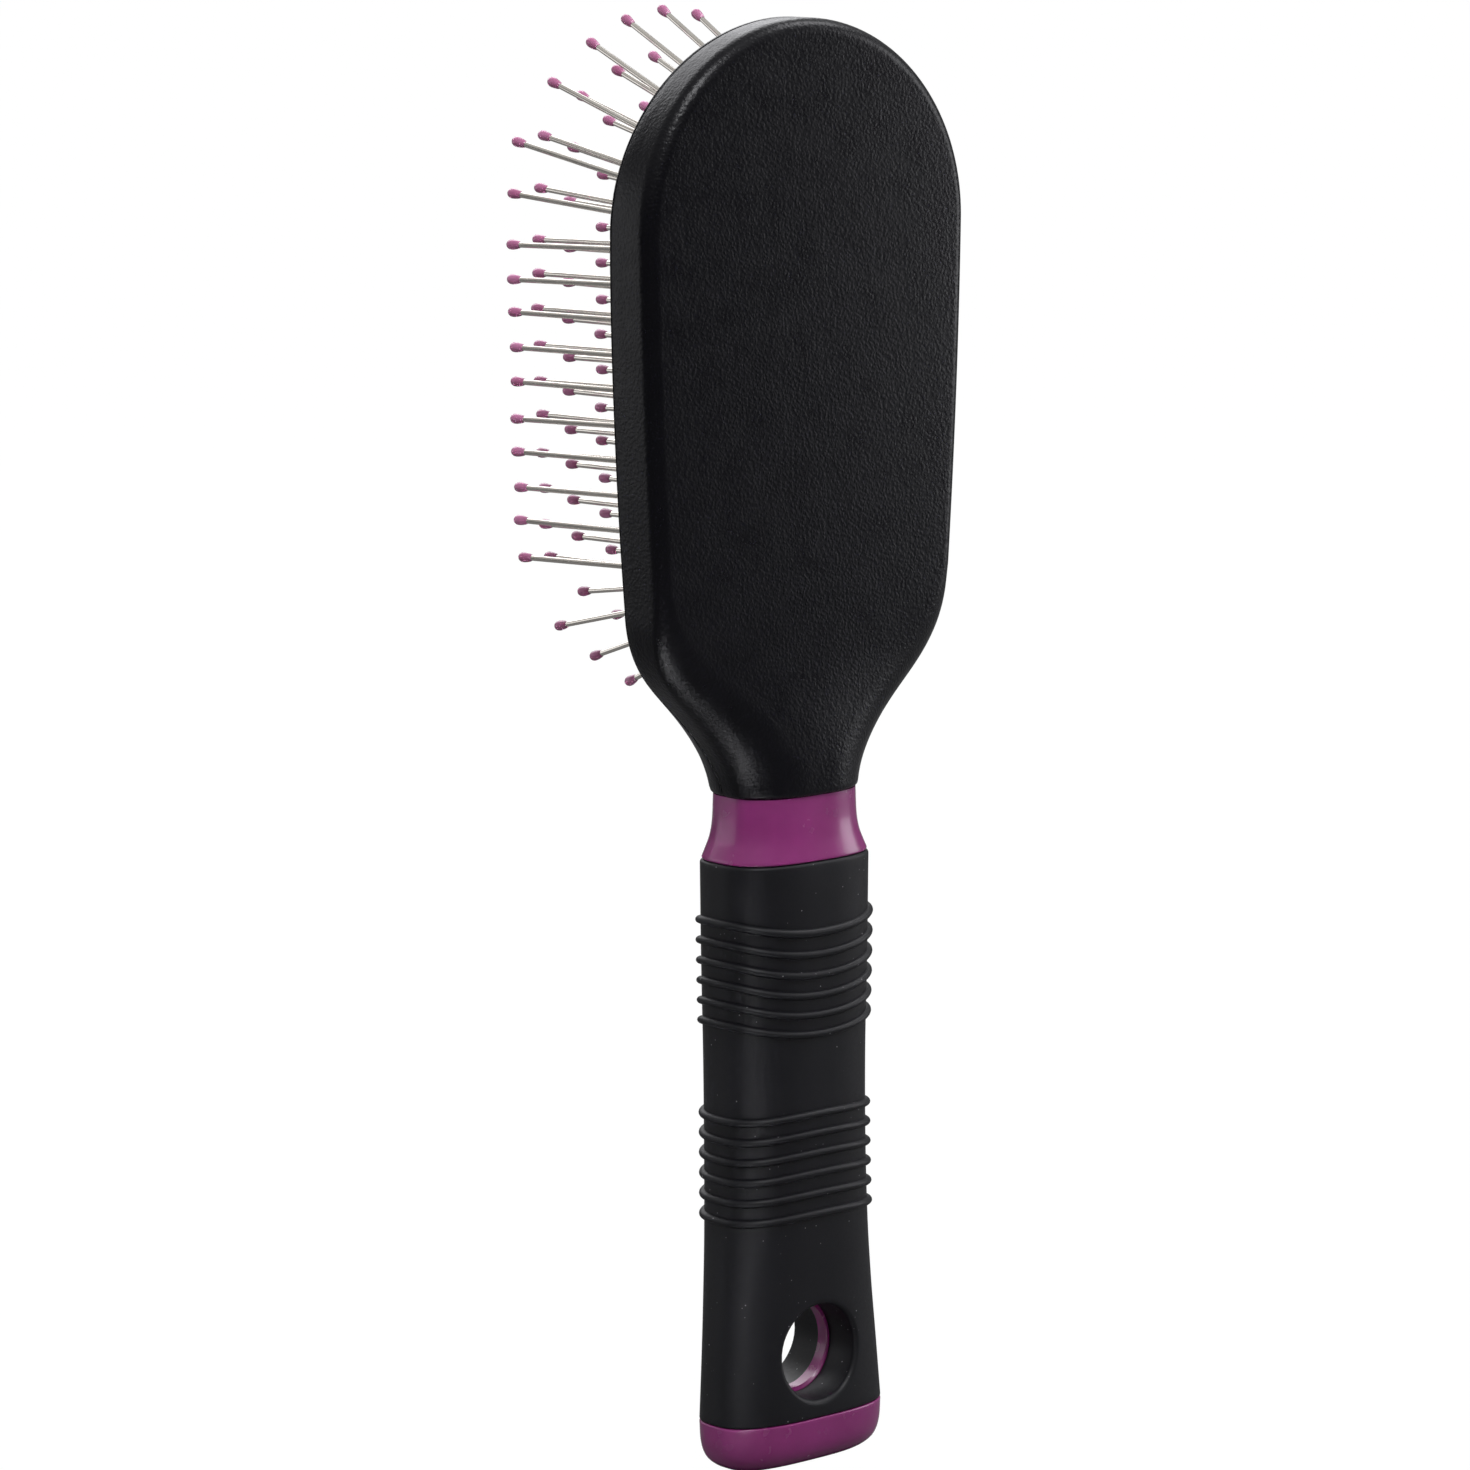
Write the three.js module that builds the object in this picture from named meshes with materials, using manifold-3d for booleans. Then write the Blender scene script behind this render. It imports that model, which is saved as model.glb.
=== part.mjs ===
// Cushion paddle brush: two-part moulded head with an air-cushion pad of wire pins, a moulded
// handle core with a flared collar, a ribbed rubber grip sleeve with a hanging hole, and an end cap.
// Millimetres. +Z runs up the handle to the head, the pins point to -Y, the back of the head faces +Y.
// The origin is the centre of the flat on the bottom of the end cap.
import * as THREE from 'three';
import { ParametricGeometry } from 'three/addons/geometries/ParametricGeometry.js';
import { mergeVertices } from 'three/addons/utils/BufferGeometryUtils.js';
import Module from 'manifold-3d';

const wasm = await Module();
wasm.setup();

// ---- driving dimensions -------------------------------------------------------------------
const GAP = 0.3;                    // clearance between pieces that touch
const OVERRUN = 5;                  // cutting bodies run this far past the surface they cut

// head, seen along Y
const NECK_END = 113.9;             // lower edge of the head mouldings
const NECK_HALF = 13.2;             // half width there
const WAIST_Z = 129.8;              // inflection of the shoulder curve
const WAIST_HALF = 24;
const SHOULDER_Z = 146.5;
const SHOULDER_HALF = 32.2;
const SIDE_BULGE_Z = 179.5;         // where the long side is fullest
const CROWN_Z = 207.5;              // widest station, centre of the rounded top
const CROWN_HALF = 35;
const CROWN_RISE = 33.5;            // height of the rounded top above CROWN_Z
// head, seen along X
const HEAD_BACK = 5.1;              // flat back face
const HEAD_FRONT = -10.6;           // front face around the cushion
const BACK_RADIUS = 2.6;            // rounded edge of the back face
const FRONT_BEVEL = 6.2;            // width of the front bevel
const NECK_BACK = 7.3;              // the neck is a little thicker than the head
const NECK_BLEND = 24;              // height over which the neck's round section becomes the flat head
const TOP_FRONT_LIFT = 1.4;         // the front face draws back at the top of the head
const TOP_WALL_LIFT = 0.6;          // the side wall runs this far past the seam at the top
const WALL = 2.2;                   // moulding thickness
const SEAM_MID = -4.5;              // Y of the seam between the head mouldings, halfway up
const SEAM_RISE = 2.4;              // how far the seam moves back at its ends
const SEAM_Z = 174.5;
const SEAM_SPAN = 60;

// cushion opening: two half ellipses joined by tapering sides
const OPEN_TOP_Z = 206.5;
const OPEN_TOP_HALF = 28.8;
const OPEN_TOP_RISE = 27.8;
const OPEN_LOW_Z = 156.5;
const OPEN_LOW_HALF = 27.2;
const OPEN_LOW_DROP = 22.4;
const PAD_THICKNESS = 1.6;
const PAD_EDGE_Y = -10.2;           // outer surface of the pad where it meets the frame
const PAD_RISE = 6.2;               // height of the dome over that edge
const PAD_POWER = 3;                // how flat the middle of the dome is
const FLANGE = 1.2;                 // rim of the pad, held behind the frame
const VENT_RADIUS = 0.9;

// pins
const PIN_LENGTH = 24;
const PIN_RADIUS = 0.48;
const TIP_RADIUS = 0.85;
const TIP_LENGTH = 2.7;
const ROW_SPACING = 6.4;            // between rows, measured at CROWN_Z
// rows from the middle outwards: highest pin, lowest pin, number of pins
const PIN_ROWS = [
  [230.0, 138.2, 17],
  [229.1, 139.1, 16],
  [226.3, 141.7, 15],
  [222.0, 145.0, 14],
  [215.5, 152.0, 12],
];
const ROW_FAN = 3.2;                // sideways lean of a row, degrees for each row from the middle
const ROW_TAPER = 0.0012;           // rows draw together towards the neck
const FAN_TOP_Z = 204.5;            // pins above this lean up
const FAN_TOP_RATE = 1.15;          // degrees per millimetre
const FAN_LOW_Z = 151;              // pins below this lean down
const FAN_LOW_RATE = 2.2;
const BEAD_WIDTH = 1.6;             // rubber bead that carries a row of pins
const BEAD_HEIGHT = 1.0;
const BEAD_CLEARANCE = 0.4;
const BEAD_END = 1;                 // the bead runs this far past its last pin
const ROOT_DEPTH = 1.0;             // a pin starts this far out from the pad, inside the bead

// handle
const HANDLE_POWER = 2.8;           // superellipse exponent of the handle's section
const RING_SEGMENTS = 24;
const SLEEVE_BOTTOM = 8.5;
const SLEEVE_TOP = 102.9;
const SLEEVE_WALL = 2.4;
const RIB_PITCH = 3.4;
const RIB_COUNT = 6;
const RIB_HEIGHT = 0.75;
const RIB_WIDTH = 1.2;
const UPPER_RIB_Z = 93.1;           // first rib of the upper group, at the handle's sides
const LOWER_RIB_Z = 59.8;
const UPPER_SAG = 2.0;              // the upper ribs dip this much in the middle
const LOWER_SAG = -0.6;
const HOLE_Z = 19.4;
const HOLE_RADIUS = 8.1;
const CORE_HOLE_RADIUS = 7.5;
const WEB_HALF = 1.25;              // half thickness of the core's web around the hole
const WEB_TOP = 30.5;
const TANG_SHOULDER = 36.5;
const TANG_DEPTH = 3.2;             // how far the tang enters the end cap
const AXIS_Y = -1.5;                // centre of the upper handle and the neck
const SPIGOT_HALF = 10.3;           // plug of the core inside the head
const SPIGOT_DEPTH = 5.6;
const SPIGOT_TOP = NECK_END + 14;
// sections of the handle's outer surface: height, half width, half thickness, centre
const HANDLE = [
  { z: SLEEVE_BOTTOM, a: 17.6, b: 8.4, y: 0 },
  { z: 19.5, a: 16.8, b: 8.2, y: -0.35 },
  { z: 29.5, a: 15.9, b: 8.4, y: -0.75 },
  { z: 39.5, a: 15.1, b: 8.8, y: -1.05 },
  { z: 53.5, a: 14.6, b: 9.1, y: -1.35 },
  { z: 68.5, a: 14.5, b: 9.3, y: AXIS_Y },
  { z: 85.5, a: 14.9, b: 9.4, y: AXIS_Y },
  { z: SLEEVE_TOP, a: 15.1, b: 9.5, y: AXIS_Y },
];
// flared collar between the sleeve and the head
const COLLAR = [
  { z: 104.6, a: 14.3, b: 9.1, y: AXIS_Y },
  { z: 107.1, a: 13.2, b: 8.6, y: AXIS_Y },
  { z: 109.9, a: 12.7, b: 8.3, y: AXIS_Y },
  { z: NECK_END - GAP, a: 12.6, b: 8.2, y: AXIS_Y },
];
// rounded bottom of the end cap
const CAP = [
  { z: 0, a: 12.6, b: 4.4, y: 0 },
  { z: 0.6, a: 14.6, b: 5.9, y: 0 },
  { z: 2.0, a: 16.4, b: 7.4, y: 0 },
  { z: 4.4, a: 17.4, b: 8.2, y: 0 },
];

// ---- solids -------------------------------------------------------------------------------
function solidOf(geometry) {
  const bare = geometry.clone();
  bare.deleteAttribute('normal');
  bare.deleteAttribute('uv');
  const merged = mergeVertices(bare, 1e-4);
  const index = merged.index.array;
  const kept = [];
  for (let i = 0; i < index.length; i += 3) {
    const [a, b, c] = [index[i], index[i + 1], index[i + 2]];
    if (a !== b && b !== c && c !== a) kept.push(a, b, c);
  }
  const vertProperties = new Float32Array(merged.attributes.position.array);
  const build = () => {
    const triVerts = new Uint32Array(kept);
    return new wasm.Manifold(new wasm.Mesh({ numProp: 3, vertProperties, triVerts }));
  };
  const solid = build();
  if (solid.volume() > 0) return solid;
  for (let i = 0; i < kept.length; i += 3) [kept[i], kept[i + 1]] = [kept[i + 1], kept[i]];
  return build();
}

function geometryOf(solid) {
  const mesh = solid.getMesh();
  const geometry = new THREE.BufferGeometry();
  geometry.setAttribute('position', new THREE.BufferAttribute(mesh.vertProperties, 3));
  geometry.setIndex(new THREE.BufferAttribute(mesh.triVerts, 1));
  geometry.computeVertexNormals();
  return geometry;
}

// Closed solid through a stack of rings: ringPoint(level, turn, target), with a pole at each end.
function ringSolid(levels, segments, ringPoint, pole) {
  const last = levels.length + 1;
  const place = (u, v, target) => {
    const i = Math.round(v * last);
    if (i === 0) pole(levels[0], target);
    else if (i === last) pole(levels[levels.length - 1], target);
    else ringPoint(levels[i - 1], u === 1 ? 0 : u, target);
  };
  return solidOf(new ParametricGeometry(place, segments, last));
}

// Solid lofted through superellipse sections { z, a, b, y, sag }.
function loft(levels, segments, power = HANDLE_POWER) {
  const fold = (value) => Math.sign(value) * Math.abs(value) ** (2 / power);
  const ringPoint = (level, turn, target) => {
    const angle = 2 * Math.PI * turn;
    const across = fold(Math.cos(angle));
    const z = level.z + (level.sag ?? 0) * across ** 2;
    target.set(level.a * across, level.y + level.b * fold(Math.sin(angle)), z);
  };
  return ringSolid(levels, segments, ringPoint, (level, target) => target.set(0, level.y, level.z));
}

function cylinderAlongY(radius, x, z, segments) {
  const geometry = new THREE.CylinderGeometry(radius, radius, 60, segments);
  return solidOf(geometry.translate(x, 0, z));
}

const brush = new THREE.Group();

function addPart(name, solid, material, parent = brush) {
  const mesh = new THREE.Mesh(geometryOf(solid), material);
  mesh.name = name;
  parent.add(mesh);
}

// ---- materials ----------------------------------------------------------------------------
const blackPlastic = new THREE.MeshStandardMaterial({ color: 0x1b1b1f, roughness: 0.55, metalness: 0 });
const rubber = new THREE.MeshStandardMaterial({ color: 0x1d1d20, roughness: 0.8, metalness: 0 });
const padRubber = new THREE.MeshStandardMaterial({ color: 0x141416, roughness: 0.7, metalness: 0 });
const magentaPlastic = new THREE.MeshStandardMaterial({ color: 0x8a2d6f, roughness: 0.22, metalness: 0 });
const pinSteel = new THREE.MeshStandardMaterial({ color: 0xb9b6b0, roughness: 0.22, metalness: 1 });

// ---- head mouldings -----------------------------------------------------------------------
// Right half of the head's outline from the neck to the top, as points (x, z).
function headOutline() {
  const shoulder = [
    new THREE.CubicBezierCurve(
      new THREE.Vector2(NECK_HALF, NECK_END), new THREE.Vector2(NECK_HALF + 0.6, NECK_END + 6),
      new THREE.Vector2(WAIST_HALF - 3.7, WAIST_Z - 3.5), new THREE.Vector2(WAIST_HALF, WAIST_Z)),
    new THREE.CubicBezierCurve(
      new THREE.Vector2(WAIST_HALF, WAIST_Z), new THREE.Vector2(WAIST_HALF + 4.2, WAIST_Z + 4.1),
      new THREE.Vector2(SHOULDER_HALF - 0.1, SHOULDER_Z - 9), new THREE.Vector2(SHOULDER_HALF, SHOULDER_Z)),
  ];
  const side = new THREE.QuadraticBezierCurve(
    new THREE.Vector2(SHOULDER_HALF, SHOULDER_Z), new THREE.Vector2(CROWN_HALF - 0.4, SIDE_BULGE_Z),
    new THREE.Vector2(CROWN_HALF, CROWN_Z));
  const top = new THREE.EllipseCurve(0, CROWN_Z, CROWN_HALF, CROWN_RISE, 0, Math.PI / 2);
  const points = [];
  const append = (curve, steps) => points.push(...curve.getPoints(steps).slice(points.length ? 1 : 0));
  append(shoulder[0], 5);
  append(shoulder[1], 5);
  append(side, 4);
  append(top, 11);
  return points;
}

const smooth = (from, to, value) => THREE.MathUtils.smoothstep(value, from, to);

// Profile of the head at height z as [inset, y] pairs, from the middle of the back to the middle
// of the front. half is the distance from the outline to the axis.
function headProfile(z, half, inset) {
  const neck = 1 - smooth(NECK_END + 2, NECK_END + NECK_BLEND, z);
  const crown = smooth(CROWN_Z + 8, CROWN_Z + CROWN_RISE, z);
  const back = THREE.MathUtils.lerp(HEAD_BACK, NECK_BACK, neck) - inset;
  const front = HEAD_FRONT + TOP_FRONT_LIFT * crown + inset;
  const backRadius = THREE.MathUtils.lerp(BACK_RADIUS, half * 0.8, neck);
  const backDepth = THREE.MathUtils.lerp(BACK_RADIUS, back - seamY(z) - 2, neck);
  const bevel = THREE.MathUtils.lerp(FRONT_BEVEL, half * 0.8, neck);
  const bevelPower = THREE.MathUtils.lerp(1.1, 2.2, neck);
  const wallFront = seamY(z) - TOP_WALL_LIFT * crown;
  const profile = [[half, back]];
  for (const degrees of [90, 67.5, 45, 22.5, 0]) {
    const angle = THREE.MathUtils.degToRad(degrees);
    profile.push([backRadius * (1 - Math.cos(angle)), back - backDepth * (1 - Math.sin(angle))]);
  }
  for (const degrees of [0, 22.5, 45, 67.5, 90]) {
    const angle = THREE.MathUtils.degToRad(degrees);
    const out = Math.cos(angle) ** (2 / bevelPower);
    const forward = Math.sin(angle) ** (2 / bevelPower);
    profile.push([bevel * (1 - out), wallFront + (front - wallFront) * forward]);
  }
  profile.push([half, front]);
  return profile;
}

// The whole head as one closed solid, shrunk by inset on every side but the neck's open end.
function headSolid(inset, end) {
  const right = headOutline();
  const columns = [...right.map((p) => [p, 1]), ...right.slice(0, -1).reverse().map((p) => [p, -1])];
  const rows = headProfile(CROWN_Z, CROWN_HALF, 0).length;
  const place = (u, v, target) => {
    const column = Math.round(u * (columns.length + 1));
    const row = Math.round(v * (rows - 1));
    const onAxis = column === 0 || column === columns.length + 1;
    const [point, side] = columns[THREE.MathUtils.clamp(column - 1, 0, columns.length - 1)];
    const centreZ = Math.min(point.y, CROWN_Z);
    const toCentre = new THREE.Vector2(-point.x, centreZ - point.y);
    const half = toCentre.length() - inset;
    toCentre.normalize();
    const [depth, y] = headProfile(point.y, half, inset)[row];
    const x = onAxis ? 0 : side * Math.max(0, point.x + toCentre.x * (inset + depth));
    let z = point.y + toCentre.y * (inset + depth);
    if (point.y === NECK_END) z = end;
    target.set(Math.abs(x) < 1e-6 ? 0 : x, y, z);
  };
  return solidOf(new ParametricGeometry(place, columns.length + 1, rows - 1));
}

// A shape drawn in (y, z), extruded along X and centred on it.
function extrudedAlongX(shape, width) {
  const geometry = new THREE.ExtrudeGeometry(shape, { depth: width, bevelEnabled: false });
  geometry.applyMatrix4(new THREE.Matrix4().makeBasis(
    new THREE.Vector3(0, 1, 0), new THREE.Vector3(0, 0, 1), new THREE.Vector3(1, 0, 0)));
  return geometry.translate(-width / 2, 0, 0);
}

// Everything behind the seam (side 1) or in front of it (side -1).
function seamHalf(side) {
  const far = CROWN_HALF + OVERRUN;
  const start = NECK_END - 3 * OVERRUN;
  const end = CROWN_Z + CROWN_RISE + OVERRUN;
  const steps = 14;
  const shape = new THREE.Shape();
  shape.moveTo(side * far, start);
  for (let i = 0; i <= steps; i += 1) {
    const z = THREE.MathUtils.lerp(start, end, i / steps);
    shape.lineTo(seamY(z) + side * GAP / 2, z);
  }
  shape.lineTo(side * far, end);
  shape.closePath();
  return solidOf(extrudedAlongX(shape, 2 * far));
}

function seamY(z) {
  return SEAM_MID + SEAM_RISE * Math.abs((z - SEAM_Z) / SEAM_SPAN) ** 3;
}

// ---- cushion pad --------------------------------------------------------------------------
// Point of the opening's outline at angle turn, grown outward by grow.
function openingPoint(turn, grow) {
  const angle = 2 * Math.PI * turn;
  const upper = Math.sin(angle) >= 0;
  const half = upper ? OPEN_TOP_HALF : OPEN_LOW_HALF;
  const rise = upper ? OPEN_TOP_RISE : OPEN_LOW_DROP;
  const centre = upper ? OPEN_TOP_Z : OPEN_LOW_Z;
  return [(half + grow) * Math.cos(angle), centre + (rise + grow) * Math.sin(angle)];
}

function openingShape(grow) {
  const shape = new THREE.Shape();
  shape.absellipse(0, OPEN_TOP_Z, OPEN_TOP_HALF + grow, OPEN_TOP_RISE + grow, 0, Math.PI);
  shape.absellipse(0, OPEN_LOW_Z, OPEN_LOW_HALF + grow, OPEN_LOW_DROP + grow, Math.PI, 2 * Math.PI);
  shape.closePath();
  return shape;
}

function openingPrism(grow, from, to, curveSegments = 12) {
  const settings = { depth: to - from, bevelEnabled: false, curveSegments };
  const prism = new THREE.ExtrudeGeometry(openingShape(grow), settings);
  prism.rotateX(Math.PI / 2);
  return solidOf(prism.translate(0, to, 0));
}

const PAD_CENTRE_Z = (OPEN_TOP_Z + OPEN_TOP_RISE + OPEN_LOW_Z - OPEN_LOW_DROP) / 2;

// How far (x, z) is from the pad's centre, as a fraction of the way to the opening's edge.
function padFraction(x, z) {
  const dz = z - PAD_CENTRE_Z;
  let low = 0;
  let high = 1.2;
  for (let i = 0; i < 30; i += 1) {
    const scale = (low + high) / 2;
    if (insideOpening(x / scale, PAD_CENTRE_Z + dz / scale)) high = scale;
    else low = scale;
  }
  return high;
}

function insideOpening(x, z) {
  if (z > OPEN_TOP_Z) return (x / OPEN_TOP_HALF) ** 2 + ((z - OPEN_TOP_Z) / OPEN_TOP_RISE) ** 2 <= 1;
  if (z < OPEN_LOW_Z) return (x / OPEN_LOW_HALF) ** 2 + ((z - OPEN_LOW_Z) / OPEN_LOW_DROP) ** 2 <= 1;
  const part = (z - OPEN_LOW_Z) / (OPEN_TOP_Z - OPEN_LOW_Z);
  return Math.abs(x) <= THREE.MathUtils.lerp(OPEN_LOW_HALF, OPEN_TOP_HALF, part);
}

const padY = (fraction) => PAD_EDGE_Y - PAD_RISE * (1 - Math.min(fraction, 1) ** PAD_POWER);

function cushionPad() {
  const edge = PAD_EDGE_Y + WALL + GAP;
  const outer = [0.35, 0.6, 0.8, 0.92, 1].map((f) => ({ f, grow: -GAP, y: padY(f) }));
  const rim = [
    { f: 1, grow: -GAP, y: edge },
    { f: 1, grow: FLANGE, y: edge },
    { f: 1, grow: FLANGE, y: edge + PAD_THICKNESS },
    { f: 1, grow: -GAP - PAD_THICKNESS, y: edge + PAD_THICKNESS },
  ];
  const inside = { grow: -GAP - PAD_THICKNESS };
  const inner = [0.9, 0.75, 0.45].map((f) => ({ ...inside, f, y: padY(f) + PAD_THICKNESS }));
  const ringPoint = (level, turn, target) => {
    const [x, z] = openingPoint(turn, level.grow);
    target.set(x * level.f, level.y, PAD_CENTRE_Z + (z - PAD_CENTRE_Z) * level.f);
  };
  const levels = [...outer, ...rim, ...inner];
  const pole = (level, target) => {
    target.set(0, level === levels[0] ? padY(0) : padY(0) + PAD_THICKNESS, PAD_CENTRE_Z);
  };
  const vent = cylinderAlongY(VENT_RADIUS, ROW_SPACING / 2, PAD_CENTRE_Z, 8);
  return ringSolid(levels, 36, ringPoint, pole).subtract(vent);
}

// ---- pins ---------------------------------------------------------------------------------
function pinLean(z) {
  if (z > FAN_TOP_Z) return (z - FAN_TOP_Z) * FAN_TOP_RATE;
  if (z < FAN_LOW_Z) return -(FAN_LOW_Z - z) * FAN_LOW_RATE;
  return 0;
}

function pinGeometry() {
  const length = PIN_LENGTH - ROOT_DEPTH;
  const neck = length - TIP_LENGTH;
  const widest = neck + TIP_LENGTH * 0.6;
  const profile = [[0, 0], [PIN_RADIUS, 0], [PIN_RADIUS, neck], [TIP_RADIUS, widest], [0, length]];
  return new THREE.LatheGeometry(profile.map(([r, y]) => new THREE.Vector2(r, y)), 5);
}

// Row k of the pins: 0 is the middle row, 4 and -4 are the outer ones.
function pinRow(k) {
  const [highest, lowest, count] = PIN_ROWS[Math.abs(k)];
  const heights = [];
  for (let j = 0; j < count; j += 1) heights.push(THREE.MathUtils.lerp(highest, lowest, j / (count - 1)));
  const rowX = (z) => k * ROW_SPACING * (1 - Math.max(0, CROWN_Z - z) * ROW_TAPER);
  const surface = (z) => padY(padFraction(rowX(z), z));

  // the bead follows the dome, clear of it by the gap
  const ends = [heights[0] + BEAD_END, ...heights, heights[heights.length - 1] - BEAD_END];
  const bead = new THREE.Shape();
  const beneath = (z, side) => padY(padFraction(rowX(z) + side * BEAD_WIDTH / 2, z));
  const innerY = (z) => Math.min(beneath(z, -1), beneath(z, 1)) - BEAD_CLEARANCE;
  const outerY = (z) => innerY(z) - BEAD_HEIGHT;
  bead.moveTo(innerY(ends[0]), ends[0]);
  for (const z of ends) bead.lineTo(outerY(z), z);
  for (const z of [...ends].reverse()) bead.lineTo(innerY(z), z);
  const strip = extrudedAlongX(bead, BEAD_WIDTH);
  const position = strip.attributes.position;
  for (let i = 0; i < position.count; i += 1) position.setX(i, position.getX(i) + rowX(position.getZ(i)));
  let row = solidOf(strip);

  const lean = THREE.MathUtils.degToRad(ROW_FAN * k);
  for (const z of heights) {
    const rise = THREE.MathUtils.degToRad(pinLean(z));
    const along = new THREE.Vector3(
      Math.sin(lean) * Math.cos(rise), -Math.cos(lean) * Math.cos(rise), Math.sin(rise));
    const turn = new THREE.Quaternion().setFromUnitVectors(new THREE.Vector3(0, 1, 0), along);
    const root = new THREE.Vector3(rowX(z), surface(z), z).addScaledVector(along, ROOT_DEPTH);
    const pin = pinGeometry();
    pin.applyQuaternion(turn).translate(root.x, root.y, root.z);
    row = row.add(solidOf(pin));
  }
  return row;
}

// ---- handle -------------------------------------------------------------------------------
function handleAt(z) {
  const upper = Math.max(1, HANDLE.findIndex((section) => section.z >= z));
  const [low, high] = [HANDLE[upper - 1], HANDLE[upper]];
  const part = (z - low.z) / (high.z - low.z);
  const mix = (key) => THREE.MathUtils.lerp(low[key], high[key], part);
  return { z, a: mix('a'), b: mix('b'), y: mix('y') };
}

// Tabulated sections strictly between two heights.
const handleBetween = (from, to) => HANDLE.filter(({ z }) => z > from && z < to);

function shrunk(section, by, z = section.z) {
  return { ...section, z, a: section.a - by, b: section.b - by };
}

function ribLevels(topZ, sag) {
  const levels = [];
  for (let i = RIB_COUNT - 1; i >= 0; i -= 1) {
    const z = topZ - i * RIB_PITCH - sag;
    for (const [offset, height] of [[-RIB_WIDTH / 2, 0], [0, RIB_HEIGHT], [RIB_WIDTH / 2, 0]]) {
      levels.push({ ...shrunk(handleAt(z), -height), z: z + offset, sag });
    }
  }
  return levels;
}

// Tang of the core: a full section above the hole and a thin web around it.
function tangLevels(clearance) {
  const by = SLEEVE_WALL + GAP - clearance;
  const web = (z) => ({ ...shrunk(handleAt(z), by), b: WEB_HALF + clearance });
  const full = [handleAt(TANG_SHOULDER), ...handleBetween(TANG_SHOULDER, SLEEVE_TOP), handleAt(SLEEVE_TOP)];
  return [web(SLEEVE_BOTTOM), web(HOLE_Z), web(WEB_TOP), ...full.map((section) => shrunk(section, by))];
}

function gripSleeve() {
  const ribSpan = (RIB_COUNT - 0.5) * RIB_PITCH;
  const outside = loft([
    handleAt(SLEEVE_BOTTOM),
    ...handleBetween(SLEEVE_BOTTOM, LOWER_RIB_Z - ribSpan),
    ...ribLevels(LOWER_RIB_Z, LOWER_SAG),
    ...handleBetween(LOWER_RIB_Z + RIB_PITCH, UPPER_RIB_Z - ribSpan),
    ...ribLevels(UPPER_RIB_Z, UPPER_SAG),
    handleAt(SLEEVE_TOP),
  ], RING_SEGMENTS);
  const cavity = tangLevels(GAP);
  cavity[0].z -= 1;
  cavity[cavity.length - 1].z += 1;
  const hole = cylinderAlongY(HOLE_RADIUS, 0, HOLE_Z, RING_SEGMENTS);
  return outside.subtract(loft(cavity, RING_SEGMENTS)).subtract(hole);
}

function handleCore() {
  const tang = tangLevels(0);
  tang[0] = { ...tang[0], z: SLEEVE_BOTTOM - TANG_DEPTH };
  const top = tang[tang.length - 1];
  const levels = [
    ...tang.slice(0, -1),
    { ...top, z: SLEEVE_TOP + GAP },
    shrunk(handleAt(SLEEVE_TOP), 0, SLEEVE_TOP + GAP),
    ...COLLAR,
    ...spigotLevels(0, NECK_END - GAP),
  ];
  const hole = cylinderAlongY(CORE_HOLE_RADIUS, 0, HOLE_Z, RING_SEGMENTS);
  return loft(levels, RING_SEGMENTS).subtract(hole);
}

// Plug of the core in the head, grown by clearance for the socket it sits in.
function spigotLevels(clearance, from) {
  const section = { a: SPIGOT_HALF + clearance, b: SPIGOT_DEPTH + clearance, y: AXIS_Y };
  return [{ ...section, z: from }, { ...section, z: SPIGOT_TOP + clearance }];
}

function endCap() {
  const outer = loft([...CAP, { ...HANDLE[0], z: SLEEVE_BOTTOM - GAP }], RING_SEGMENTS);
  const slot = tangLevels(GAP)[0];
  const slotFloor = SLEEVE_BOTTOM - TANG_DEPTH - GAP;
  const socket = loft([{ ...slot, z: slotFloor }, { ...slot, z: SLEEVE_BOTTOM + OVERRUN }], RING_SEGMENTS);
  return outer.subtract(socket);
}

// ---- assembly -----------------------------------------------------------------------------
const head = headSolid(0, NECK_END);
const hollow = headSolid(WALL, NECK_END - OVERRUN);
const spigotHole = loft(spigotLevels(GAP, NECK_END - OVERRUN), RING_SEGMENTS);
const opening = openingPrism(0, HEAD_FRONT - OVERRUN, 0);
const padSeat = openingPrism(FLANGE + GAP, PAD_EDGE_Y + WALL, 0);

const shell = head.subtract(hollow).subtract(spigotHole);
addPart('head_back_shell', shell.intersect(seamHalf(1)), blackPlastic);
const front = shell.intersect(seamHalf(-1));
addPart('head_front_frame', front.subtract(opening).subtract(padSeat), blackPlastic);
addPart('cushion_pad', cushionPad(), padRubber);
const outermost = PIN_ROWS.length - 1;
for (let k = -outermost; k <= outermost; k += 1) {
  addPart(`pin_row_${k + PIN_ROWS.length}`, pinRow(k), pinSteel);
}
addPart('handle_core', handleCore(), magentaPlastic);
addPart('grip_sleeve', gripSleeve(), rubber);
addPart('end_cap', endCap(), magentaPlastic);

export default brush;
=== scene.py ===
"""Looks of a cushion paddle brush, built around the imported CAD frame.

Shapes are worked out in millimetres in the frame's axes and written to the meshes in metres:
+Z runs up the handle, the pins point to -Y and the back of the head faces +Y.
"""

import math
import random

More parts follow.
